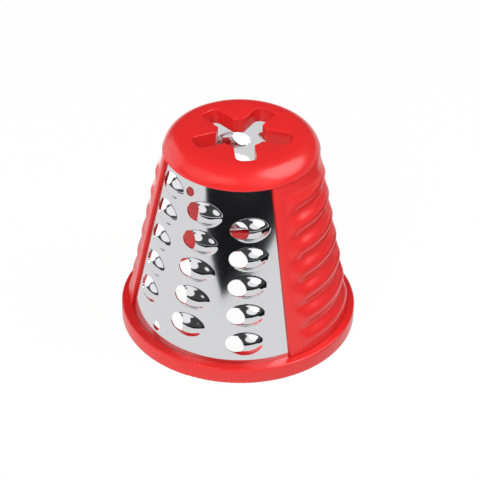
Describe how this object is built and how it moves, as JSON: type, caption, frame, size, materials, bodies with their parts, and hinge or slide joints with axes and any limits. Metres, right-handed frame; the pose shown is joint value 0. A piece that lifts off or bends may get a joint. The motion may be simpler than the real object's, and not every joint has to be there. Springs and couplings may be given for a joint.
{
  "type": "rotary grater drum",
  "caption": "Conical grating drum: a star socket in the cap, ribbed side panels, raised steel teeth in two windows, and an open base ring.",
  "frame": {"origin": "centre of the base ring's bottom face, the widest end of the drum", "axes": "+Z along the drum's axis from the open base to the cap; the front grater window faces -Y and the ribbed panels face +X and -X"},
  "size_m": [0.096, 0.096, 0.0874],
  "materials": {
    "red_plastic": "glossy moulded polypropylene",
    "grater_steel": "polished stainless steel sheet"
  },
  "bodies": {
    "root": {"drive_cap": "red_plastic", "base_ring": "red_plastic", "right_rib_panel": "red_plastic", "left_rib_panel": "red_plastic", "front_grater_sheet": "grater_steel", "rear_grater_sheet": "grater_steel"}
  },
  "joints": []
}
